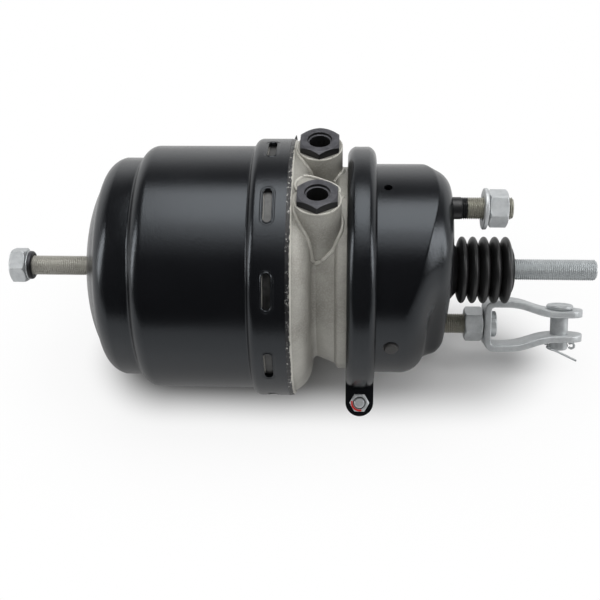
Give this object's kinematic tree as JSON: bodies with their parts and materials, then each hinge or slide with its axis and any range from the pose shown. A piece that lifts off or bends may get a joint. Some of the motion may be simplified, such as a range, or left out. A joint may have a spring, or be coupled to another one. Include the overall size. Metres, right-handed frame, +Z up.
{
  "type": "air brake chamber",
  "caption": "Combination air brake chamber with a spring side, a clamped service side, a push rod with its boot, a release bolt and a clevis.",
  "frame": {"origin": "middle of the mounting face, on the push rod's axis, halfway between the two studs", "axes": "+X out along the push rod, +Z up through the upper stud, towards the air ports"},
  "size_m": [0.449, 0.1952, 0.1962],
  "materials": {
    "black_paint": "glossy black paint",
    "cast_aluminium": "as cast, matt",
    "zinc_plate": "zinc plated",
    "bare_thread_steel": "plain steel thread, painted at its root",
    "dark_steel": "phosphated",
    "spring_steel": "coated spring wire",
    "black_oxide": "black oxide",
    "black_rubber": "moulded, matt",
    "guide_plastic": "moulded"
  },
  "bodies": {
    "chamber": {"spring_housing": "black_paint", "bolt_boss": "dark_steel", "lock_ring": "dark_steel", "centre_flange": "cast_aluminium", "housing_seal": "black_rubber", "tube_bush": "guide_plastic", "tube_seal_rear": "black_rubber", "tube_seal_front": "black_rubber", "service_port_adapter": "black_oxide", "parking_port_adapter": "black_oxide", "diaphragm": "black_rubber", "clamp_ring": "black_paint", "clamp_bolt": "zinc_plate", "clamp_nut": "zinc_plate", "service_housing": "black_paint", "vent_plugs": "black_rubber", "stud_plate": "dark_steel", "rod_guide": "guide_plastic", "mounting_stud_upper": "bare_thread_steel", "mounting_stud_lower": "bare_thread_steel", "mounting_nut_upper": "zinc_plate", "mounting_nut_lower": "zinc_plate", "mounting_washer_upper": "zinc_plate", "bellows": "black_rubber", "return_spring": "spring_steel", "power_spring": "spring_steel", "clevis": "zinc_plate", "clevis_bush": "zinc_plate"},
    "piston": {"spring_piston": "cast_aluminium", "piston_seal": "black_rubber", "piston_guide_ring": "guide_plastic", "piston_tube": "dark_steel", "tube_cap": "dark_steel"},
    "rod": {"push_plate": "dark_steel", "push_rod": "zinc_plate"},
    "bolt_washer": {"release_washer": "dark_steel"},
    "caging_bolt": {"release_bolt": "zinc_plate", "cage_nut": "dark_steel"},
    "clevis_pin_body": {"clevis_pin": "zinc_plate", "cotter_pin": "zinc_plate"}
  },
  "joints": [
    {"name": "release_bolt_slide", "type": "slide", "parent": "chamber", "child": "bolt_washer", "axis": [1, 0, 0], "range_m": [0, 0.057]},
    {"name": "release_bolt_turn", "type": "hinge", "parent": "bolt_washer", "child": "caging_bolt", "pos_m": [-0.33, 0, 0], "axis": [1, 0, 0], "range_deg": [0, 13680]},
    {"name": "piston_slide", "type": "slide", "parent": "chamber", "child": "piston", "axis": [1, 0, 0], "range_m": [0, 0.057], "deforming": ["power_spring"]},
    {"name": "push_rod_slide", "type": "slide", "parent": "chamber", "child": "rod", "axis": [1, 0, 0], "range_m": [0, 0.057], "deforming": ["bellows", "return_spring", "diaphragm"]},
    {"name": "clevis_pin_turn", "type": "hinge", "parent": "chamber", "child": "clevis_pin_body", "pos_m": [0.0941, 0, -0.06032], "axis": [0, 0.5948, 0.8039], "continuous": true}
  ],
  "couplings": [
    {"joint": "release_bolt_turn", "follows": "release_bolt_slide", "rad_per_m": 4188.8},
    {"joint": "piston_slide", "follows": "release_bolt_slide", "ratio": 1},
    {"joint": "push_rod_slide", "follows": "release_bolt_slide", "ratio": 1}
  ]
}
